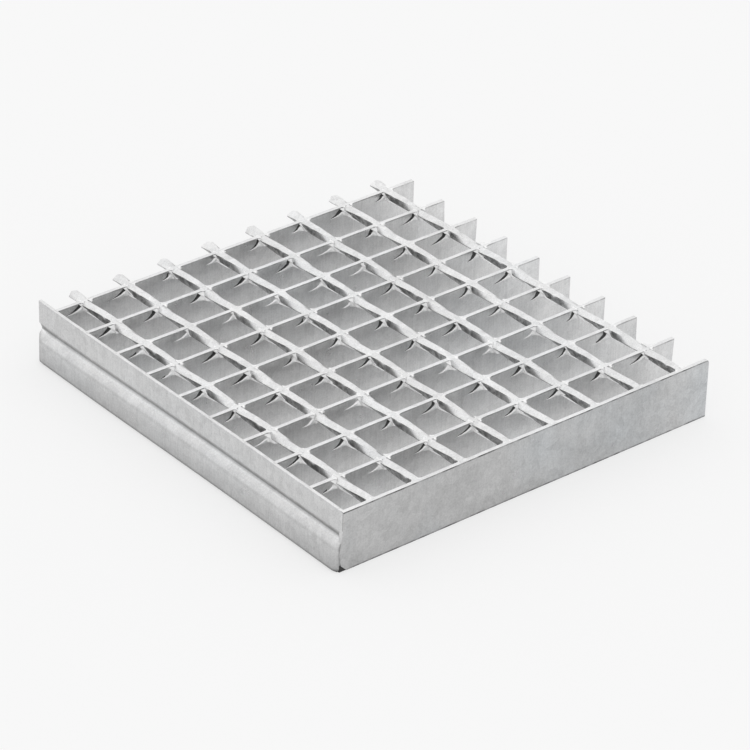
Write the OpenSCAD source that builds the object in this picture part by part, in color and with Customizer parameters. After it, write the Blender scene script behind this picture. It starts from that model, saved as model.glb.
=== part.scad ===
// Forge-welded steel grating panel.
// Flat bearing bars stand on edge along X and twisted square rods cross them along Y,
// pressed into the bars until the tops are level. A rolled edge bar closes the -X side,
// the other ends are left as sawn. The origin is under the middle of the panel.

/* [Mesh] */
// Number of bearing bars
bar_count = 10; // [3:1:16]
// Spacing of the bearing bars, centre to centre
bar_pitch = 34.33; // [22:0.01:60]
// Number of cross rods
rod_count = 8; // [2:1:12]
// Spacing of the cross rods, centre to centre
rod_pitch = 38.1; // [24:0.1:100]

/* [Bearing bars] */
// Height of a bearing bar
bar_height = 45; // [36:1:60]
// Thickness of a bearing bar
bar_thickness = 3; // [2:0.1:5]
// From the edge bar's outer face to the first cross rod's axis
first_rod = 24.2; // [16:0.1:40]
// From the last cross rod's axis to the sawn bar ends
bar_overhang = 23.6; // [10:0.1:60]
// Bevel at the foot of each bar, behind the edge bar's curl
foot_bevel = 3.7; // [1:0.1:5]
// Gap left between each bar and the edge bar's foot
foot_gap = 1; // [0.5:0.1:2]

/* [Cross rods] */
// Side of the square rod before it is twisted
rod_side = 5.6; // [4:0.1:8]
// Length of rod that makes a quarter turn
quarter_turn = 57; // [30:0.5:100]
// Depth of the rods' axes below the bar tops
rod_depth = 2.5; // [2:0.1:6]
// Length of rod that stands past the last bearing bar
rod_stub = 16; // [0:0.5:30]
// Turn of the first rod and every second one after it, where they start
odd_turn = 4; // [0:1:89]
// Turn of the rods between those, where they start
even_turn = 21; // [0:1:89]

/* [Edge bar] */
// Thickness of the rolled strip
strip = 2.6; // [2.2:0.1:3]
// Height of the flat stretch at the top of the strip
flat_height = 15; // [8:0.5:18]
// Depth of the groove behind the flat stretch
groove_depth = 2.2; // [1.4:0.1:3]
// Reach of the bead beyond the flat stretch
bead_reach = 4.8; // [3:0.1:6]
// Slope of the strip into the groove, from the vertical
slope_in = 35; // [20:1:45]
// Slope of the strip out to the bead, from the vertical
slope_out = 60; // [45:1:65]
// Outer radius of the bend above the groove
neck_radius = 4; // [3:0.1:6]
// Radius at the bottom of the groove
groove_radius = 0.8; // [0.3:0.1:1.5]
// Outer radius of the bead's shoulder
shoulder_radius = 3.5; // [3.2:0.1:6]
// Outer radius of the curl at the foot
curl_radius = 3.5; // [3.2:0.1:8]
// Flat of the foot past the curl
foot_flat = 0.5; // [0.3:0.1:4]
// Length of edge bar that stands past the last bearing bar
edge_stub = 18; // [0:0.5:40]
// Length over which the bead narrows towards each end of the edge bar
pinch_length = 5; // [1:0.5:12]
// How much of the bead's reach is gone at the ends
pinch = 1.8; // [0.5:0.1:2]

/* [Hidden] */
galvanised = [0.74, 0.75, 0.76];
dull_zinc = [0.68, 0.69, 0.70];
// Steps in each bend of the strip, and the turn of a rod between two rings
bend_steps = 6;
ring_turn = 10;
// Room past the faces of each cutting shape, so that it goes right through
cut_past = 1;

// Places along X, from the flat stretch's outer face
bar_end = first_rod + (rod_count - 1) * rod_pitch + bar_overhang;
panel_x = bead_reach + bar_end;
// Places along Y, from the first bar's middle
last_bar = (bar_count - 1) * bar_pitch;
bar_half = bar_thickness / 2;
rod_length = last_bar + 2 * bar_half + rod_stub;
edge_length = last_bar + 2 * bar_half + edge_stub;
panel_y = max(rod_length, edge_length);

// Points of a circle's arc, from one angle to another
function arc(centre, radius, from, to) = [
    for (i = [0:bend_steps])
    let (a = from + (to - from) * i / bend_steps)
    centre + radius * [cos(a), sin(a)]
];

// Centres of the strip's four bends, as [inward from the flat's outer face, height]
run_in = (groove_depth - (groove_radius + neck_radius) * (1 - cos(slope_in))) / sin(slope_in);
run_out = (groove_depth + bead_reach - (groove_radius + shoulder_radius) * (1 - cos(slope_out)))
    / sin(slope_out);
neck = [neck_radius, bar_height - flat_height];
groove = [
    groove_depth - groove_radius,
    neck[1] - (neck_radius + groove_radius) * sin(slope_in) - run_in * cos(slope_in)
];
shoulder = [
    shoulder_radius - bead_reach,
    groove[1] - (groove_radius + shoulder_radius) * sin(slope_out) - run_out * cos(slope_out)
];
curl = [curl_radius - bead_reach, curl_radius];

// One side of the strip from top to foot, a given depth in from the outer face
function strip_side(depth) = concat(
    [[depth, bar_height]],
    arc(neck, neck_radius - depth, 180, 180 + slope_in),
    arc(groove, groove_radius + depth, slope_in, -slope_out),
    arc(shoulder, shoulder_radius - depth, 180 - slope_out, 180),
    arc(curl, curl_radius - depth, 180, 270),
    [[curl[0] + foot_flat, depth]]
);

function reversed(points) = [for (i = [len(points) - 1:-1:0]) points[i]];

// Rolled section of the edge bar, standing on its foot
module edge_section() {
    polygon(concat(strip_side(0), reversed(strip_side(strip))));
}

// Side view of a bearing bar, welded to the whole inner face of the edge bar
module bar_section() {
    foot = curl[0] + foot_flat;
    polygon(concat(
        [[bar_end, 0], [bar_end, bar_height]],
        [for (p = strip_side(strip)) if (p[1] > curl[1] + foot_gap) p],
        [[strip - bead_reach, curl[1] + foot_gap]],
        [[foot, strip + foot_gap], [foot + foot_bevel, 0]]
    ));
}

// Stands a side view up along X, from one place along Y to another
module standing(from, to) {
    translate([0, to, 0])
        rotate([90, 0, 0])
            linear_extrude(height = to - from)
                children();
}

// Square rod with its twist, along Y and up to the level of the bar tops
module twisted_rod(turn) {
    whole_turn = 90 * rod_length / quarter_turn;
    translate([0, -bar_half, bar_height - rod_depth])
        rotate([-90, 0, 0])
            linear_extrude(height = rod_length, twist = whole_turn,
                    slices = ceil(whole_turn / ring_turn), segments = 4)
                rotate(turn)
                    square(rod_side, center = true);
}

// Plan of the edge bar, whose bead narrows towards both ends
module edge_plan() {
    from = -bar_half;
    to = from + edge_length;
    tip = pinch - bead_reach;
    polygon([
        [tip, from], [-bead_reach, from + pinch_length],
        [-bead_reach, to - pinch_length], [tip, to],
        [bar_height, to], [bar_height, from]
    ]);
}

// Panel placed over the origin
module centred() {
    translate([bead_reach - panel_x / 2, bar_half - panel_y / 2, 0])
        children();
}

module bearing_bars() {
    for (i = [0:bar_count - 1])
        standing(i * bar_pitch - bar_half, i * bar_pitch + bar_half)
            bar_section();
}

module cross_rods() {
    intersection() {
        for (j = [0:rod_count - 1])
            translate([first_rod + j * rod_pitch, 0, 0])
                twisted_rod(j % 2 == 0 ? odd_turn : even_turn);
        translate([-cut_past, -bar_half - cut_past, bar_height - rod_depth - 2 * rod_side])
            cube([bar_end + 2 * cut_past, panel_y + 2 * cut_past, rod_depth + 2 * rod_side]);
    }
}

module grating() {
    color(galvanised)
        centred() {
            bearing_bars();
            cross_rods();
        }
}

module edge_bar() {
    color(dull_zinc)
        centred()
            intersection() {
                standing(-bar_half, edge_length - bar_half)
                    edge_section();
                translate([0, 0, -cut_past])
                    linear_extrude(height = bar_height + 2 * cut_past)
                        edge_plan();
            }
}

grating();
edge_bar();
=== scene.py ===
import math
import random

import bmesh
import bpy
from mathutils import Matrix, Vector, noise


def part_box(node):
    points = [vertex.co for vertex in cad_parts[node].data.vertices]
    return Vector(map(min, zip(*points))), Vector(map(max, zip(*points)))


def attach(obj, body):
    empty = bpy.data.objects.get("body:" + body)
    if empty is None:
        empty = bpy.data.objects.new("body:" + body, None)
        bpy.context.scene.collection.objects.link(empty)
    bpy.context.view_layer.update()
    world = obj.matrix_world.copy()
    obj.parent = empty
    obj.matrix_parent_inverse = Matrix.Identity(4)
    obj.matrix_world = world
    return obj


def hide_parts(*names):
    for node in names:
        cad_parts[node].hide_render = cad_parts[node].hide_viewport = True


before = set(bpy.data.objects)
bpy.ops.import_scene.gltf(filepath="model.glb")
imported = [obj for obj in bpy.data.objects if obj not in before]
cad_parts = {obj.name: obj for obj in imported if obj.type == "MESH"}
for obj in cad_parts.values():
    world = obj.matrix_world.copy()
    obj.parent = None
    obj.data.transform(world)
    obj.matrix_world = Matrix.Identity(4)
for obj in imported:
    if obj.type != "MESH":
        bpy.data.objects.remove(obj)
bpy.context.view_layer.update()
mm = 0.001

# lengths in mm, along X from the outer face of the edge bar's flat stretch,
# along Y from the first bar's middle, and up from the underside
mesh = dict(bars=10, barPitch=34.33, rods=8, rodPitch=38.1, firstRod=24.2, barEnd=314.5,
            barThick=3, strip=2.6, beadReach=4.8)
halfBar = mesh["barThick"] / 2
lastRod = mesh["rods"] - 1
edgeLow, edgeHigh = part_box("edge_bar")
gratingLow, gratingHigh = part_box("grating")
faceX = edgeLow.x / mm + mesh["beadReach"]
firstBarY = gratingLow.y / mm + halfBar
topZ = gratingHigh.z / mm
edgeEndY = edgeHigh.y / mm - firstBarY
rodEndY = gratingHigh.y / mm - firstBarY
tiny = 0.01  # two places closer than this are the same

# how far each bar and rod sits from its even place, as it came out of the press
barDrift = (0, 0, 2, 0.4, 1.8, 0.5, 1.1, 0.1, -0.2, 1.2)
rodDrift = (1.3, 0.05, 0.35, 0.35, 0.9, -0.5, -0.15, -1.05)
edgeDrift = 1.5


def barY(i):
    return i * mesh["barPitch"] + barDrift[i]


def rodX(j):
    return mesh["firstRod"] + j * mesh["rodPitch"] + rodDrift[j]


def smooth(low, high, x):
    t = min(max((x - low) / (high - low), 0), 1)
    return t * t * (3 - 2 * t)


def edgeBow(y):
    # the welding heat drew the near part of the edge bar a little inward
    return edgeDrift * (1 - smooth(90, 280, y))


def wave(x, y, z, size, seed=0.0):
    return noise.noise(Vector((x / size + seed, y / size - seed, z / size + 3.7)))


# shared steps of the modelling
def joinInto(target, bm):
    data = bpy.data.meshes.new("part")
    bm.to_mesh(data)
    bm.free()
    target.from_mesh(data)
    bpy.data.meshes.remove(data)


def growFaces(bm, faces, keep=True):
    # extrudes faces in place, and drops the old ones unless they close the end
    grown = bmesh.ops.extrude_face_region(bm, geom=faces)["geom"]
    if not keep:
        bmesh.ops.delete(bm, geom=faces, context="FACES_ONLY")
    newFaces = [g for g in grown if isinstance(g, bmesh.types.BMFace)]
    newVerts = [g for g in grown if isinstance(g, bmesh.types.BMVert)]
    return newFaces, newVerts


def bevelEdges(bm, edges, offset, segments):
    bmesh.ops.bevel(bm, geom=edges, offset=offset, offset_type="OFFSET", segments=segments, profile=0.5,
                    affect="EDGES", material=-1)


def finishPiece(name, bm, materials, node):
    # from millimetres at the first bar to metres in the frame
    toFrame = Matrix.Diagonal((mm, mm, mm, 1)) @ Matrix.Translation((faceX, firstBarY, 0))
    bmesh.ops.transform(bm, matrix=toFrame, verts=bm.verts)
    data = bpy.data.meshes.new(name)
    bm.to_mesh(data)
    bm.free()
    for m in materials:
        data.materials.append(m)
    data.shade_smooth()
    data.set_sharp_from_angle(angle=math.radians(35))
    piece = bpy.data.objects.new(name, data)
    bpy.context.scene.collection.objects.link(piece)
    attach(piece, "root")
    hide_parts(node)
    print("built", name, len(data.polygons), "faces")


# shader nodes
def newGroup(name, inputs, outputs):
    group = bpy.data.node_groups.new(name, "ShaderNodeTree")
    for label, kind, value in inputs:
        socket = group.interface.new_socket(label, in_out="INPUT", socket_type=kind)
        socket.default_value = value
    for label, kind in outputs:
        group.interface.new_socket(label, in_out="OUTPUT", socket_type=kind)
    return group, group.nodes.new("NodeGroupInput"), group.nodes.new("NodeGroupOutput")


def addNode(tree, kind, **settings):
    node = tree.nodes.new(kind)
    for key, value in settings.items():
        if key in node.inputs:
            node.inputs[key].default_value = value
        else:
            setattr(node, key, value)
    return node


def noiseNode(tree, vector, scale, detail, rough):
    node = addNode(tree, "ShaderNodeTexNoise", Scale=scale, Detail=detail, Roughness=rough)
    tree.links.new(vector, node.inputs["Vector"])
    return node.outputs["Fac"]


def mathNode(tree, operation, a, b=None, clamp=False):
    node = addNode(tree, "ShaderNodeMath", operation=operation, use_clamp=clamp)
    for socket, value in zip(node.inputs, (a, b)):
        if value is None:
            continue
        if isinstance(value, (int, float)):
            socket.default_value = value
        else:
            tree.links.new(value, socket)
    return node.outputs[0]


def rangeNode(tree, value, fromLow, fromHigh, toLow, toHigh):
    node = addNode(tree, "ShaderNodeMapRange")
    tree.links.new(value, node.inputs["Value"])
    ends = {"From Min": fromLow, "From Max": fromHigh, "To Min": toLow, "To Max": toHigh}
    for key, number in ends.items():
        node.inputs[key].default_value = number
    return node.outputs["Result"]


def spanNode(tree, place, low, high, toLow, toHigh):
    # a change between two places in mm
    return rangeNode(tree, place, low * mm, high * mm, toLow, toHigh)


def times(tree, first, *others):
    for other in others:
        first = mathNode(tree, "MULTIPLY", first, other)
    return first


def bandNode(tree, place, riseFrom, riseTo, fallFrom, fallTo):
    # one between the rise and the fall, nothing beyond them
    rise = spanNode(tree, place, riseFrom, riseTo, 0, 1)
    return times(tree, rise, spanNode(tree, place, fallFrom, fallTo, 1, 0))


def darken(tree, tone, *masks):
    return times(tree, tone, mathNode(tree, "SUBTRACT", 1.0, times(tree, *masks)))


def lighten(tree, tone, *masks):
    return times(tree, tone, mathNode(tree, "ADD", 1.0, times(tree, *masks)))


# hot-dip zinc: pattern scales per metre, and what each material may change
zinc = dict(cloud=22, patch=85, grain=900, crystal=210, runs=620, runStretch=0.06, blotch=260, blue=14,
            blueTint=(0.9, 0.97, 1.02, 1), roughness=(0.27, 0.38), bump=0.15, bumpDepth=0.0006)
zincInputs = dict(Cloud=0.1, Runs=0.1, Grain=0.06, Blue=0.3, Rim=0, Under=0, Level=0.35, Ends=0,
                  Groove=0, Foot=0, Crest=0, Roll=0)


def zincTexture(group, amount, place, upright):
    # cloudy tone, faint crystals, and runs down the upright faces
    stretched = addNode(group, "ShaderNodeMapping", Scale=(1, 1, zinc["runStretch"]))
    group.links.new(place, stretched.inputs["Vector"])
    cloud = noiseNode(group, place, zinc["cloud"], 4, 0.6)
    patch = noiseNode(group, place, zinc["patch"], 3, 0.6)
    grain = noiseNode(group, place, zinc["grain"], 2, 0.6)
    runs = noiseNode(group, stretched.outputs[0], zinc["runs"], 3, 0.65)
    crystal = addNode(group, "ShaderNodeTexVoronoi", feature="F1", Scale=zinc["crystal"])
    group.links.new(place, crystal.inputs["Vector"])
    crystalTone = addNode(group, "ShaderNodeSeparateColor")
    group.links.new(crystal.outputs["Color"], crystalTone.inputs[0])
    # each pattern, half the width of its range, and its share of the tone
    layers = ((cloud, 0.25, amount["Cloud"]),
              (patch, 0.25, times(group, amount["Cloud"], 0.6)),
              (runs, 0.25, times(group, amount["Runs"], upright)),
              (grain, 0.25, amount["Grain"]),
              (crystalTone.outputs[0], 0.5, times(group, amount["Grain"], 0.5)))
    tone = 1.0
    for value, width, share in layers:
        swing = rangeNode(group, value, 0.5 - width, 0.5 + width, -1, 1)
        tone = mathNode(group, "ADD", tone, times(group, swing, share))
    height = mathNode(group, "ADD", times(group, patch, 0.6), times(group, grain, 0.12))
    height = mathNode(group, "ADD", height, times(group, runs, upright, 0.3))
    return tone, height, patch


# painted light and shade on the edge bar's rolled section
def edgeBarTones(group, tone, amount, where):
    # painted shade in the groove, and in the seam at its near end
    groove = bandNode(group, amount["Roll"], 23.2, 23.7, 25.5, 29)
    seam = spanNode(group, where["Y"], -164.7, -163.8, 1, 0)
    tone = darken(group, tone, mathNode(group, "MAXIMUM", groove, seam), amount["Groove"])
    # painted highlight on the top of the bead, and painted shade over its shoulder
    bright = bandNode(group, amount["Roll"], 22.6, 23.2, 23.6, 24.2)
    dull = times(group, bandNode(group, amount["Roll"], 16.5, 19, 21.2, 22.6), 0.8)
    tone = lighten(group, tone, mathNode(group, "SUBTRACT", bright, dull), amount["Crest"])
    # painted shade, darker towards the foot, most of all round the curl
    foot = mathNode(group, "ADD", spanNode(group, where["Z"], 1, 19, 1, 0),
                    spanNode(group, where["Z"], 1.2, 3.2, 1.5, 0))
    return darken(group, tone, foot, amount["Foot"])


def buildZincGroup():
    inputs = [("Tone", "NodeSocketColor", (0.7, 0.71, 0.72, 1))]
    inputs += [(label, "NodeSocketFloat", value) for label, value in zincInputs.items()]
    outputs = [("Color", "NodeSocketColor"), ("Roughness", "NodeSocketFloat"), ("Height", "NodeSocketFloat")]
    group, start, end = newGroup("zincCoat", inputs, outputs)
    link = group.links.new
    amount = start.outputs
    place = addNode(group, "ShaderNodeTexCoord").outputs["Object"]
    split = addNode(group, "ShaderNodeSeparateXYZ")
    link(addNode(group, "ShaderNodeNewGeometry").outputs["Normal"], split.inputs[0])
    facingUp = split.outputs["Z"]
    upright = rangeNode(group, mathNode(group, "ABSOLUTE", facingUp), 0.3, 0.8, 1, 0)
    split = addNode(group, "ShaderNodeSeparateXYZ")
    link(place, split.inputs[0])
    where = split.outputs
    tone, height, patch = zincTexture(group, amount, place, upright)
    # painted shade: a dark line along the top and bottom of upright faces, under the top edge and in the
    # contact shadow at the foot
    rim = mathNode(group, "MAXIMUM", spanNode(group, where["Z"], 43.6, 44.3, 0, 1),
                   spanNode(group, where["Z"], 0.8, 1.6, 1, 0))
    broken = rangeNode(group, patch, 0.38, 0.62, 0.35, 1.3)
    tone = darken(group, tone, rim, broken, upright, amount["Rim"])
    tone = edgeBarTones(group, tone, amount, where)
    # painted shade: faces that look further down than Level are darkened, in blotches
    below = mathNode(group, "SUBTRACT", amount["Level"], facingUp)
    below = mathNode(group, "DIVIDE", below, 0.4, clamp=True)
    blotch = rangeNode(group, noiseNode(group, place, zinc["blotch"], 2, 0.6), 0.4, 0.6, 0.7, 1.3)
    tone = darken(group, tone, below, blotch, amount["Under"])
    # painted light: upright faces lighten towards the sawn ends, which stand in the open light
    tone = lighten(group, tone, spanNode(group, where["X"], 100, 140, 0, 1), upright, amount["Ends"])
    coloured = addNode(group, "ShaderNodeVectorMath", operation="SCALE")
    link(amount["Tone"], coloured.inputs[0])
    link(tone, coloured.inputs["Scale"])
    tint = addNode(group, "ShaderNodeMix", data_type="RGBA", blend_type="MULTIPLY")
    blueMask = rangeNode(group, noiseNode(group, place, zinc["blue"], 2, 0.5), 0.45, 0.7, 0, 1)
    link(times(group, blueMask, amount["Blue"]), tint.inputs[0])
    link(coloured.outputs[0], tint.inputs[6])
    tint.inputs[7].default_value = zinc["blueTint"]
    link(tint.outputs[2], end.inputs["Color"])
    link(rangeNode(group, patch, 0.3, 0.7, *zinc["roughness"]), end.inputs["Roughness"])
    link(height, end.inputs["Height"])
    return group


def zincMaterial(name, grey, metallic=1.0, **amounts):
    material = bpy.data.materials.new(name)
    material.use_nodes = True
    tree = material.node_tree
    shader = tree.nodes["Principled BSDF"]
    coat = addNode(tree, "ShaderNodeGroup", node_tree=zincCoat, name="zincCoat")
    coat.inputs["Tone"].default_value = (grey, grey, grey, 1)
    for key, value in amounts.items():
        coat.inputs[key].default_value = value
    relief = addNode(tree, "ShaderNodeBump", Strength=zinc["bump"], Distance=zinc["bumpDepth"])
    tree.links.new(coat.outputs["Color"], shader.inputs["Base Color"])
    tree.links.new(coat.outputs["Roughness"], shader.inputs["Roughness"])
    tree.links.new(coat.outputs["Height"], relief.inputs["Height"])
    tree.links.new(relief.outputs["Normal"], shader.inputs["Normal"])
    shader.inputs["Metallic"].default_value = metallic
    return material


def followRoll(material):
    # the painted shade of the groove and the painted highlight of the bead keep to the rolled section where
    # it sinks
    tree = material.node_tree
    height = addNode(tree, "ShaderNodeAttribute", attribute_name="rollHeight")
    tree.links.new(height.outputs["Fac"], tree.nodes["zincCoat"].inputs["Roll"])


zincCoat = buildZincGroup()
barZinc = zincMaterial("barZinc", 0.8, Cloud=0.08, Runs=0.07, Grain=0.09, Blue=0.12, Rim=0.35, Under=0.5,
                       Level=-0.1, Ends=0.04)
# a darker copy of the bar zinc for the first bar's outer face: painted shade
outerZinc = zincMaterial("outerZinc", 0.62, Cloud=0.09, Runs=0.04, Grain=0.11, Blue=0.45, Rim=0.7, Under=0.5,
                         Level=-0.1, Ends=0.16)
rodZinc = zincMaterial("rodZinc", 0.8, Cloud=0.06, Runs=0.03, Grain=0.12, Blue=0.1, Under=0.55)
edgeZinc = zincMaterial("edgeZinc", 0.775, Cloud=0.07, Runs=0.06, Grain=0.1, Blue=0.1, Rim=0.1, Under=0.5,
                        Level=-0.2, Groove=0.45, Foot=0.28, Crest=0.18)
followRoll(edgeZinc)
# brighter and less metallic than the bar zinc: painted highlight on the lit rims of the welds
weldZinc = zincMaterial("weldZinc", 0.9, metallic=0.35, Cloud=0.05, Runs=0, Grain=0.08, Blue=0)
# near-black: painted shade in the crevices beside the welds and in the hollow at the near corner
weldAsh = zincMaterial("weldAsh", 0.025, metallic=0, Cloud=0.3, Runs=0, Grain=0.3, Blue=0)
print("materials ready")


# edge bar: corners of its outer face, how far each bend starts from its corner, and its ends
edgeBar = dict(neck=28.74, grooveIn=2.56, grooveZ=23.8, shoulder=20.85, footIn=-0.8,
               neckBend=1.26, grooveBend=0.87, shoulderBend=3.6, curlBend=2.2, lip=0.7,
               start=-1.38, stations=72, sink=1.3, sinkFrom=190, topWaver=0.15, topDip=0.12,
               nearLength=6, farLength=7, nearCut=2, farCut=6, nearCutHeight=5, farCutHeight=14)
# how far the strip reaches outward at its two ends, by height
nearReach = [(0, 1.1), (4, 0.9), (7, 1.5), (13, 2.2), (18.5, 2.0), (22, 1.2), (25, 0), (28, 0), (45, 0)]
farReach = [(0, 0), (20, 0), (23.5, -2.4), (26, -2.4), (29, -0.2), (45, 0)]


def readTable(table, t):
    # straight lines between the pairs of a table
    for (t0, v0), (t1, v1) in zip(table, table[1:]):
        if t <= t1:
            return v0 + (v1 - v0) * max(t - t0, 0) / (t1 - t0)
    return table[-1][1]


def pinchEnds(x, y, z, profile):
    # near both ends the bead and the groove flatten out
    for gap, length, power, table in ((y + halfBar, edgeBar["nearLength"], 2.2, nearReach),
                                      (edgeEndY - y, edgeBar["farLength"], 1.2, farReach)):
        if gap < length:
            t = 1 - max(gap, 0) / length
            x -= (readTable(table, z) + readTable(profile, z)) * t ** power
    return x


def sunk(y, z):
    # the groove runs a little lower towards the far end, while the top and the foot stay level
    onRoll = smooth(8, 18, z) * (1 - smooth(31, 40, z))
    return z - edgeBar["sink"] * smooth(edgeBar["sinkFrom"], edgeEndY, y) * onRoll


def edgeSteps(length):
    # close together near both ends, even between them
    close = [0.3, 0.7, 1.2, 1.8, 2.6, 3.6, 4.8, 6.2]
    count = edgeBar["stations"]
    between = length - 2 * close[-1]
    even = [close[-1] + between * (k + 1) / count for k in range(count)]
    return close + even + [length - s for s in reversed(close[:-1])] + [length]


def sweepEdgeBar(bm):
    e, reach = edgeBar, mesh["beadReach"]
    corners = [(0, topZ), (0, e["neck"]), (e["grooveIn"], e["grooveZ"]), (-reach, e["shoulder"]),
               (-reach, 0), (e["footIn"], 0)]
    verts = [bm.verts.new((x, e["start"], z)) for x, z in corners]
    edges = [bm.edges.new(pair) for pair in zip(verts, verts[1:])]
    last = 0
    for step in edgeSteps(edgeEndY - e["start"]):
        grown = bmesh.ops.extrude_edge_only(bm, edges=edges)["geom"]
        fresh = [g for g in grown if isinstance(g, bmesh.types.BMVert)]
        bmesh.ops.translate(bm, vec=(0, step - last, 0), verts=fresh)
        edges = [g for g in grown if isinstance(g, bmesh.types.BMEdge) and all(v in fresh for v in g.verts)]
        last = step
    offsets = (e["neckBend"], e["grooveBend"], e["shoulderBend"], e["curlBend"])
    for (x, z), offset, segments in zip(corners[1:5], offsets, (5, 4, 6, 8)):
        bend = [g for g in bm.edges
                if all(abs(v.co.x - x) < tiny and abs(v.co.z - z) < tiny for v in g.verts)]
        bevelEdges(bm, bend, offset, segments)


def faceOutward(bm):
    # an open strip has no inside of its own, so its outer side is settled here
    bmesh.ops.recalc_face_normals(bm, faces=bm.faces)
    if sum(f.normal.x * f.calc_area() for f in bm.faces) > 0:
        bmesh.ops.reverse_faces(bm, faces=bm.faces)


def roundTopEdge(bm):
    rim = [g for g in bm.edges if all(abs(v.co.z - topZ) < tiny for v in g.verts)
           and abs(g.verts[0].co.y - g.verts[1].co.y) > 0.05]
    bevelEdges(bm, rim, edgeBar["lip"], 3)


def wearEdgeBar(bm, profile):
    e = edgeBar
    roll = bm.verts.layers.float.new("rollHeight")
    for v in bm.verts:
        x, y, z = v.co
        v[roll] = z * mm
        x = pinchEnds(x, y, z, profile) + edgeBow(y)
        z = sunk(y, z)
        # the foot is rounded off at both ends
        y = min(y, edgeEndY - e["farCut"] * (1 - min(z / e["farCutHeight"], 1)) ** 2.5)
        y = max(y, e["start"] + e["nearCut"] * (1 - min(z / e["nearCutHeight"], 1)) ** 2)
        # the top wanders a little where it was trimmed
        if z > topZ - 1.2:
            x += e["topWaver"] * wave(0, y, z, 9)
            z -= e["topDip"] * (1 + wave(5, y, 0, 13))
        v.co = (x, y, min(z, topZ))


def buildEdgeBar():
    bm = bmesh.new()
    sweepEdgeBar(bm)
    faceOutward(bm)
    # outline of the outer face by height, which the pinched ends start from
    profile = sorted((v.co.z, v.co.x) for v in bm.verts
                     if v.co.y < edgeBar["start"] + tiny and v.co.z > tiny)
    profile = [(0, profile[0][1] + 1.5)] + profile
    bmesh.ops.solidify(bm, geom=bm.faces[:], thickness=mesh["strip"])
    bmesh.ops.recalc_face_normals(bm, faces=bm.faces)
    roundTopEdge(bm)
    wearEdgeBar(bm, profile)
    return bm


# bearing bars: roundings, and how each sawn end falls short and leans
bars = dict(soft=0.32, footRound=0.7, endRound=(2.4, 0.6, 1, 0.5, 0.7, 1.4, 0.6, 0.5, 0.8, 1),
            endTrim=(0, 0, -0.7, -0.7, -1.1, -0.5, 0, -0.2, -1.4, 0),
            endLean=(0.5, -2.5, 1, -0.8, 0.5, 0, 0, -1.5, 2.5, 0),
            cut=5, topDip=0.05, ripple=0.1, waver=0.09, sway=0.25, sawWobble=0.35)
# where a bar meets the edge bar, from the top down: inside its strip, and for the first bar over its end
wallLine = [(1.3, 45), (1.3, 29.15), (4.2, 23.3), (-3.5, 19.7), (-3.5, 4.5), (-0.8, 3.7), (2.9, 0)]
capLine = [(0.06, 45), (0.06, 31), (-0.6, 28), (-0.85, 24), (-1.9, 18.5), (-2.15, 13), (-1.4, 7),
           (-0.9, 5), (1.2, 2.8), (4.2, 0)]


def barBlank(i):
    bm = bmesh.new()
    y = barY(i)
    line = capLine if i == 0 else wallLine
    outline = [(x + edgeBow(y), sunk(y, z)) for x, z in line] + [(mesh["barEnd"], 0), (mesh["barEnd"], topZ)]
    side = bm.faces.new([bm.verts.new((x, y - halfBar, z)) for x, z in outline])
    fresh = growFaces(bm, [side])[1]
    bmesh.ops.translate(bm, vec=(0, mesh["barThick"], 0), verts=fresh)
    bmesh.ops.recalc_face_normals(bm, faces=bm.faces)
    return bm


def onBroadFace(edge, y):
    first, second = (v.co.y for v in edge.verts)
    return abs(first - second) < tiny and abs(first - y) > halfBar - 0.05


def softenBar(bm, i):
    # the sawn end's top corner, then the foot's long edges, then the edges of the top and the end
    def atEnd(edge):
        return all(v.co.x > mesh["barEnd"] - 0.1 for v in edge.verts)

    def above(edge, z):
        return all(v.co.z > z for v in edge.verts)

    def atFoot(edge):
        return all(v.co.z < 0.1 for v in edge.verts)

    y = barY(i)
    corner = [g for g in bm.edges if atEnd(g) and above(g, topZ - 0.1)]
    bevelEdges(bm, corner, bars["endRound"][i], 4)
    foot = [g for g in bm.edges if onBroadFace(g, y) and atFoot(g)]
    bevelEdges(bm, foot, bars["footRound"], 2)
    rest = [g for g in bm.edges if onBroadFace(g, y) and not atFoot(g) and (atEnd(g) or above(g, topZ - 4))]
    bevelEdges(bm, rest, bars["soft"], 2)


def sliceBar(bm):
    # cross cuts give the wear something to move
    x = 8
    while x < mesh["barEnd"] - 4:
        everything = bm.verts[:] + bm.edges[:] + bm.faces[:]
        bmesh.ops.bisect_plane(bm, geom=everything, plane_co=(x, 0, 0), plane_no=(1, 0, 0), dist=0.0001)
        x += bars["cut"]
    bmesh.ops.remove_doubles(bm, verts=bm.verts, dist=0.005)


def wearBar(bm, i):
    endX = mesh["barEnd"]
    for v in bm.verts:
        x, y, z = v.co
        if z > topZ - 3 and x > 3:
            v.co.z -= bars["topDip"] + bars["ripple"] * (0.5 + wave(x, y, 0, 11, i))
            v.co.y += bars["waver"] * wave(x, 0, z, 14, i * 3.1)
        v.co.y += bars["sway"] * wave(x, 0, 0, 90, i * 1.7) * smooth(3, 40, x)
        # sawn ends are neither quite straight nor quite square
        lean = bars["endTrim"][i] + bars["endLean"][i] * (0.85 - z / topZ)
        lean += bars["sawWobble"] * wave(0, 0, z, 9, i * 2.9)
        v.co.x = min(x + lean * smooth(endX - 8, endX, x), endX - tiny)


def markOuterFace(bm):
    # the first bar's outer face stays flat and takes a darker copy of the bar zinc, as painted shade
    for v in bm.verts:
        v.co.y = max(v.co.y, -halfBar)
    bmesh.ops.recalc_face_normals(bm, faces=bm.faces)
    for f in bm.faces:
        if f.normal.y < -0.5:
            f.material_index = 1


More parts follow.
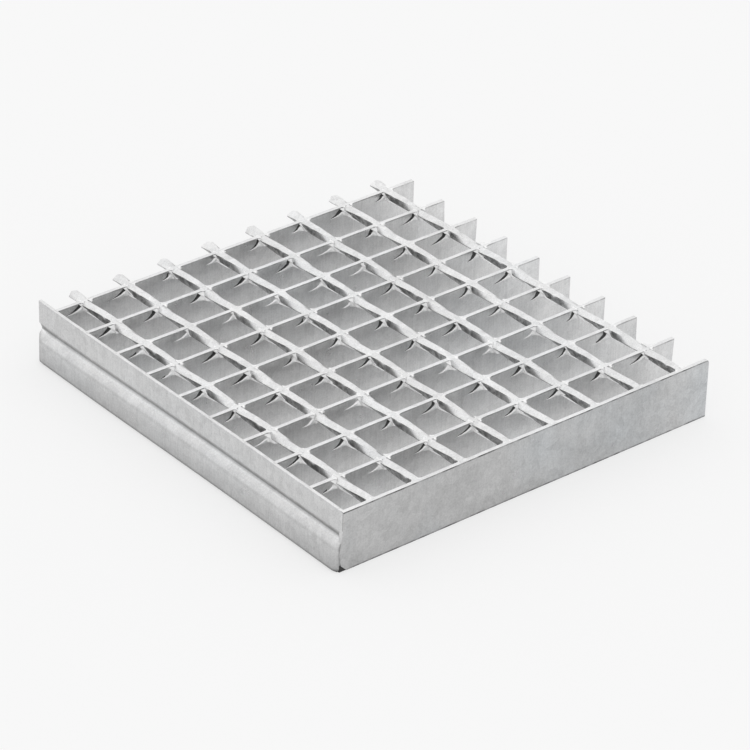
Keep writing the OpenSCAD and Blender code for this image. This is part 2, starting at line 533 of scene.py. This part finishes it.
def buildHollow():
    # painted shade: a black block fills the shaded hollow at the foot of the near corner
    bm = bmesh.new()
    outline = ((-1.8, 0.2), (-1.8, 5.2), (-0.6, 5.6), (4.6, 0.6), (4.4, 0.2))
    face = bm.faces.new([bm.verts.new((x + edgeBow(0), -0.9, z)) for x, z in outline])
    fresh = growFaces(bm, [face])[1]
    bmesh.ops.translate(bm, vec=(0, 1.5, 0), verts=fresh)
    bmesh.ops.recalc_face_normals(bm, faces=bm.faces)
    for f in bm.faces:
        f.material_index = 2
    return bm


def buildBars():
    whole = bmesh.new()
    for i in range(mesh["bars"]):
        bm = barBlank(i)
        softenBar(bm, i)
        sliceBar(bm)
        wearBar(bm, i)
        if i == 0:
            markOuterFace(bm)
        joinInto(whole, bm)
    joinInto(whole, buildHollow())
    return whole


# cross rods: square bar, the turn of each where it starts, and its stub past the last bearing bar
rods = dict(side=5.8, corner=0.8, quarterTurn=57, depth=2.5, step=3, level=0.06, levelWobble=0.03,
            start=-1.2, stop=0.6, lift=0.12, sway=0.25, swell=(1.5, 7),
            turns=(2, 18, 11, 22, 0, 22, 4, 21),
            stubGrow=(0.02, 0.2, 0.16, 0.36, 0.16, 0.28, 0.14, 0.34),
            stubShift=(1.1, 1.4, 0.8, 1.9, 0.8, 1.9, 1.0, 2.0))


def rodTurn(j, y):
    # how far a rod has turned at one place along it, in degrees
    return rods["turns"][j] - 90 * (y + halfBar) / rods["quarterTurn"]


def rodBlank(j, start, stop):
    bm = bmesh.new()
    half = rods["side"] / 2
    corners = ((half, half), (-half, half), (-half, -half), (half, -half))
    bm.faces.new([bm.verts.new((x, 0, z)) for x, z in corners])
    bmesh.ops.bevel(bm, geom=bm.verts[:], offset=rods["corner"], offset_type="OFFSET", segments=2,
                    profile=0.5, affect="VERTICES", material=-1)

    def twist(verts, degrees):
        turn = Matrix.Rotation(math.radians(degrees), 3, "Y")
        bmesh.ops.rotate(bm, cent=(0, 0, 0), matrix=turn, verts=verts)

    twist(bm.verts, rodTurn(j, start))
    count = round((stop - start) / rods["step"])
    step = (stop - start) / count
    faces = bm.faces[:]
    for k in range(count):
        faces, fresh = growFaces(bm, faces, keep=k == 0)
        bmesh.ops.translate(bm, vec=(0, step, 0), verts=fresh)
        twist(fresh, -90 * step / rods["quarterTurn"])
    bmesh.ops.recalc_face_normals(bm, faces=bm.faces)
    return bm


def buildRod(j, rnd):
    start, stop = rods["start"], rodEndY - rods["stop"] - rnd.uniform(0, 1.2)
    bm = rodBlank(j, start, stop)
    lastBar = barY(mesh["bars"] - 1)
    swellFrom, swellTo = (lastBar + gap for gap in rods["swell"])
    for v in bm.verts:
        x, y, z = v.co
        y += start
        # the free stubs past the last bar are a little swollen with zinc
        stub = smooth(swellFrom, swellTo, y)
        x = x * (1 + rods["stubGrow"][j] * stub) + rods["stubShift"][j] * stub + rodX(j)
        z = z * (1 + 0.5 * rods["stubGrow"][j] * stub) + topZ - rods["depth"]
        z += rods["lift"] * wave(x, y, z, 12, j)
        x += rods["sway"] * wave(0, y, 0, 40, j * 2.3)
        # pressed level with the bars
        v.co = (x, y, min(z, topZ - rods["level"] + rods["levelWobble"] * wave(x, y, 0, 7)))
    return bm


def buildRods():
    rnd = random.Random(11)
    whole = bmesh.new()
    for j in range(mesh["rods"]):
        joinInto(whole, buildRod(j, rnd))
    return whole


# welds at the crossings: metal squeezed out under the rods
welds = dict(limb=1.1, crevice=1.5, fin=7, crest=1.1, threadShare=0.6, threadThick=(0.7, 0.25),
             threadLength=(11, 19), spurShare=0.55, spurOut=(0.2, 1.4), spurDown=(1.2, 2.2),
             top=0.09, filletBite=0.35, filletDeep=(2.5, 4.5), lastFillet=(6.5, 6))
# the four corners between a rod and a bar: their sides along X and Y, and the fillet's reach along each
fillets = ((1, 1, 2.8, 2.6), (1, -1, 1.6, 1.4), (-1, 1, 1.2, 1.0), (-1, -1, 1.0, 1.0))


def flashStations(rnd, radius):
    # sections from the thin end on the bar's face up to the rod, from its side as (along, out, up);
    # each has the strip's edge, the foot of the crest, the crest, the outer rim and the root
    limb = welds["limb"] * rnd.uniform(0.7, 1.25)
    gap = welds["crevice"] * rnd.uniform(0.55, 1.25)
    crest = welds["crest"] * rnd.uniform(0.75, 1.2)
    fin = welds["fin"] * rnd.uniform(0.6, 1.25)
    flat = rnd.uniform(-0.3, 1.6)  # some limbs leave the rod nearly level
    fill = rnd.uniform(0.0, 1.0)
    skin, root = -0.03, 0.4  # just off the bar's face, and inside it
    left, low = -radius, -7.8 + flat
    thin, far, bend, knee = left - 10.6 * limb, left - 6.8 * limb, left - 3.9 * limb, left - 2.0
    return [
        [(thin, skin, low + 0.1), (thin, skin, low), (thin, -0.1, low - 0.05),
         (thin, -0.1, low - 0.15), (thin, root, low - 0.3)],
        [(far - 0.1, skin, low + 0.5 + 0.8 * gap), (far, skin, low + 0.5),
         (far + 0.1, -0.45 * crest, low + 0.3), (far + 0.2, -0.5 * crest, low - 0.25),
         (far + 0.3, root, low - 0.6)],
        [(bend - 1.1 * gap, skin, low + 1.4 + 1.15 * gap), (bend, skin, low + 1.4),
         (bend + 0.15, -0.8 * crest, low + 1.1), (bend + 0.4, -0.9 * crest, low + 0.2),
         (bend + 0.7, root, low - 0.3)],
        [(knee - 1.5 * gap, skin, -4.9 + flat + 1.2 * gap), (knee, skin, -4.9 + flat),
         (knee + 0.2, -1.1 * crest, -5.1 + 0.6 * flat), (knee + 0.9, -1.5 * crest, -6.5),
         (knee + 1.2, root, -7.3)],
        [(left - 0.9 - 2.1 * gap, skin, -2.9 + 0.9 * gap), (left - 0.7, skin, -3.1),
         (left - 0.45, -0.8 * crest, -3.5), (left - 0.1, -0.42 * fin, -6.0), (left + 1.6, 0.2, -6.4)],
        [(left - 0.2 - 2.2 * gap, skin, -0.75), (left + 0.1, skin, -1.2),
         (left + 0.15, -0.5, -1.5 - 1.5 * fill), (left + 0.1, -0.75 * fin, -5.4),
         (left + 1.6, -0.5 * fin, -5.0)],
        [(left + 1.2, -0.3, -0.9), (left + 1.3, -0.4, -1.2), (left + 1.0, -0.9, -2.4),
         (left + 0.9, -fin, -4.7), (left + 1.7, -0.9 * fin, -4.4)]]


def buildFlash(rnd, radius):
    bm = bmesh.new()
    first, *others = flashStations(rnd, radius)
    faces = [bm.faces.new([bm.verts.new(p) for p in first])]
    for k, station in enumerate(others):
        faces = growFaces(bm, faces, keep=k == 0)[0]
        for v, p in zip(faces[0].verts, station):
            v.co = p
    for f in bm.faces:
        # the strip between its edge and the foot of the crest lies in the dark gap, and takes the near-black
        # material as painted shade
        if all(-0.2 < v.co.y < 0.1 for v in f.verts):
            f.material_index = 1
    bmesh.ops.recalc_face_normals(bm, faces=bm.faces)
    return bm


def rodRadius(j, y, degrees):
    # from the rod's axis to its side, in one direction at one place along it
    a = math.radians(degrees + rodTurn(j, y))
    square = rods["side"] / 2 / max(abs(math.cos(a)), abs(math.sin(a)))
    return min(square, rods["side"] / math.sqrt(2) - 0.41 * rods["corner"])


def lowerLeft(j, y, out):
    # a point just off the rod's lower left
    reach = (rodRadius(j, y, 225) + out) * math.sqrt(0.5)
    return Vector((rodX(j) - reach, y, topZ - rods["depth"] - reach))


def buildThread(rnd, j, y):
    # drawn-out rim of flash that follows the rod, in the brighter weld zinc, partly a painted highlight
    # along the rod's lower edge
    bm = bmesh.new()
    thick, thin = welds["threadThick"]
    bmesh.ops.create_cone(bm, cap_ends=True, segments=4, radius1=thick, radius2=thin, depth=1)
    first, last = lowerLeft(j, y - 1.5, 1.3), lowerLeft(j, y - rnd.uniform(*welds["threadLength"]), 0.3)
    between = last - first
    turn = Vector((0, 0, 1)).rotation_difference(between).to_matrix().to_4x4()
    stretch = Matrix.Diagonal((1, 1, between.length, 1))
    bmesh.ops.transform(bm, verts=bm.verts, matrix=Matrix.Translation((first + last) / 2) @ turn @ stretch)
    return bm


def buildSpur(rnd):
    bm = bmesh.new()
    bmesh.ops.create_uvsphere(bm, u_segments=6, v_segments=4, radius=1)
    size = (rnd.uniform(0.9, 1.6), rnd.uniform(0.6, 0.9), rnd.uniform(0.7, 1.2))
    bmesh.ops.scale(bm, vec=size, verts=bm.verts)
    return bm


def buildFillet(reachX, reachY, deep):
    # hollow fill in the plan corner between a rod and a bar, narrower below
    bm = bmesh.new()
    points = [(-1, 1), (reachX, 1), (reachX, 0)]
    for k in range(1, 4):
        a = math.radians(90 * k / 4)
        points.append((reachX * (1 - math.sin(a)), -reachY * (1 - math.cos(a))))
    points += [(0, -reachY), (-1, -reachY)]
    face = bm.faces.new([bm.verts.new((x, y, 0)) for x, y in points])
    fresh = growFaces(bm, [face])[1]
    bmesh.ops.translate(bm, vec=(0, 0, -deep), verts=fresh)
    for v in fresh:
        v.co.x = min(v.co.x, reachX * 0.2)
        v.co.y = max(v.co.y, -reachY * 0.2)
    bmesh.ops.recalc_face_normals(bm, faces=bm.faces)
    return bm


def placeCopy(target, bm, matrix):
    bmesh.ops.transform(bm, matrix=matrix, verts=bm.verts)
    if matrix.determinant() < 0:
        bmesh.ops.reverse_faces(bm, faces=bm.faces)
    joinInto(target, bm)


def addFlashes(whole, rnd, i, j):
    near, far = barY(i) - halfBar, barY(i) + halfBar
    if i > 0:
        place = Matrix.Translation((rodX(j), near, topZ))
        placeCopy(whole, buildFlash(rnd, rodRadius(j, near, 200)), place)
        if rnd.random() < welds["threadShare"]:
            joinInto(whole, buildThread(rnd, j, near))
    # the far side of the bar has the same flash, turned half round the rod
    if j < lastRod:
        place = Matrix.Translation((rodX(j), far, topZ)) @ Matrix.Rotation(math.pi, 4, "Z")
        placeCopy(whole, buildFlash(rnd, rodRadius(j, far, -20)), place)


def addSpurs(whole, rnd, i, j):
    for side in (-1, 1):
        hidden = j == lastRod or (i == 0 and side < 0)
        if not hidden and rnd.random() < welds["spurShare"]:
            y = barY(i) + side * halfBar
            reach = rodRadius(j, y, 90 + 90 * side) + rnd.uniform(*welds["spurOut"])
            place = Matrix.Translation((rodX(j) - side * reach, y, topZ - rnd.uniform(*welds["spurDown"])))
            placeCopy(whole, buildSpur(rnd), place)


def addFillets(whole, rnd, i, j):
    for sideX, sideY, reachX, reachY in fillets:
        if i == 0 and sideY > 0:
            continue
        grow = rnd.uniform(0.75, 1.2)
        if j == lastRod and sideX > 0 and sideY < 0:
            reachX, reachY = welds["lastFillet"]  # broad zinc fill on the open side of the last rod
        out = rodRadius(j, barY(i) - sideY * halfBar, 90 - 90 * sideX) - welds["filletBite"]
        corner = (rodX(j) + sideX * out, barY(i) - sideY * (halfBar - 0.05), topZ - welds["top"])
        place = Matrix.Translation(corner) @ Matrix.Diagonal((sideX, sideY, 1, 1))
        deep = rnd.uniform(*welds["filletDeep"])
        placeCopy(whole, buildFillet(reachX * grow, reachY * grow, deep), place)


def buildWelds():
    rnd = random.Random(23)
    whole = bmesh.new()
    for i in range(mesh["bars"]):
        for j in range(mesh["rods"]):
            addFlashes(whole, rnd, i, j)
            addSpurs(whole, rnd, i, j)
            addFillets(whole, rnd, i, j)
    return whole


finishPiece("edgeStrip", buildEdgeBar(), [edgeZinc], "edge_bar")
finishPiece("bearingBars", buildBars(), [barZinc, outerZinc, weldAsh], "grating")
finishPiece("crossRods", buildRods(), [rodZinc], "grating")
finishPiece("crossingWelds", buildWelds(), [weldZinc, weldAsh], "grating")


# floor: pale to the camera, duller in what it throws back at the steel
stage = dict(size=6, floorTone=0.93, bounceTone=0.45, glow=0.65, mirrorGlow=0.62, backdrop=0.935)


def floorMaterial():
    material = bpy.data.materials.new("paleFloor")
    material.use_nodes = True
    tree = material.node_tree
    shader = tree.nodes["Principled BSDF"]
    shader.inputs["Roughness"].default_value = 0.9
    shader.inputs["Specular IOR Level"].default_value = 0
    glow = addNode(tree, "ShaderNodeEmission", Color=(stage["backdrop"],) * 3 + (1,))
    ray = addNode(tree, "ShaderNodeLightPath").outputs
    tone = rangeNode(tree, ray["Is Camera Ray"], 0, 1, stage["bounceTone"], stage["floorTone"])
    tree.links.new(tone, shader.inputs["Base Color"])
    mirrored = mathNode(tree, "MAXIMUM", ray["Is Glossy Ray"], ray["Is Transmission Ray"])
    share = mathNode(tree, "ADD", times(tree, ray["Is Camera Ray"], stage["glow"]),
                     times(tree, mirrored, stage["mirrorGlow"]))
    mix = addNode(tree, "ShaderNodeMixShader")
    tree.links.new(share, mix.inputs[0])
    tree.links.new(shader.outputs[0], mix.inputs[1])
    tree.links.new(glow.outputs[0], mix.inputs[2])
    tree.links.new(mix.outputs[0], tree.nodes["Material Output"].inputs["Surface"])
    return material


def buildStage():
    bm = bmesh.new()
    bmesh.ops.create_grid(bm, x_segments=1, y_segments=1, size=stage["size"])
    data = bpy.data.meshes.new("studioFloor")
    bm.to_mesh(data)
    bm.free()
    data.materials.append(floorMaterial())
    floor = bpy.data.objects.new("studioFloor", data)
    bpy.context.scene.collection.objects.link(floor)


lights = dict(dome=1.0, overhead=0.05, softness=70, tilt=(8, 10, 0))


def buildLights():
    world = bpy.data.worlds.new("studioAir")
    bpy.context.scene.world = world
    world.use_nodes = True
    air = world.node_tree.nodes["Background"]
    air.inputs["Color"].default_value = (1, 1, 1, 1)
    air.inputs["Strength"].default_value = lights["dome"]
    sun = bpy.data.lights.new("overheadLamp", "SUN")
    sun.energy = lights["overhead"]
    sun.angle = math.radians(lights["softness"])
    lamp = bpy.data.objects.new("overheadLamp", sun)
    lamp.rotation_euler = [math.radians(a) for a in lights["tilt"]]
    bpy.context.scene.collection.objects.link(lamp)


# the aim and the distance in mm from the frame's origin, the angles in degrees
cameraSet = dict(aim=(-8.93, -18.91, 22.5), distance=2744, azimuth=50.123, elevation=31.23, roll=1.723,
                 lens=196)


def buildCamera():
    c = cameraSet
    data = bpy.data.cameras.new("studioCamera")
    data.lens = c["lens"]
    data.sensor_width = 36
    data.clip_end = 50
    camera = bpy.data.objects.new("studioCamera", data)
    azimuth, elevation, roll = (math.radians(c[key]) for key in ("azimuth", "elevation", "roll"))
    level = math.cos(elevation)
    forward = Vector((level * math.cos(azimuth), level * math.sin(azimuth), -math.sin(elevation)))
    side = forward.cross(Vector((0, 0, 1))).normalized()
    right = side * math.cos(roll) + side.cross(forward) * math.sin(roll)
    up = right.cross(forward)
    turn = Matrix((right, up, -forward)).transposed()
    place = (Vector(c["aim"]) - forward * c["distance"]) * mm
    camera.matrix_world = Matrix.Translation(place) @ turn.to_4x4()
    bpy.context.scene.collection.objects.link(camera)
    bpy.context.scene.camera = camera


buildStage()
buildLights()
buildCamera()
bpy.context.scene.view_settings.view_transform = "Standard"
print("stage, lights and camera ready")

bpy.context.view_layer.update()
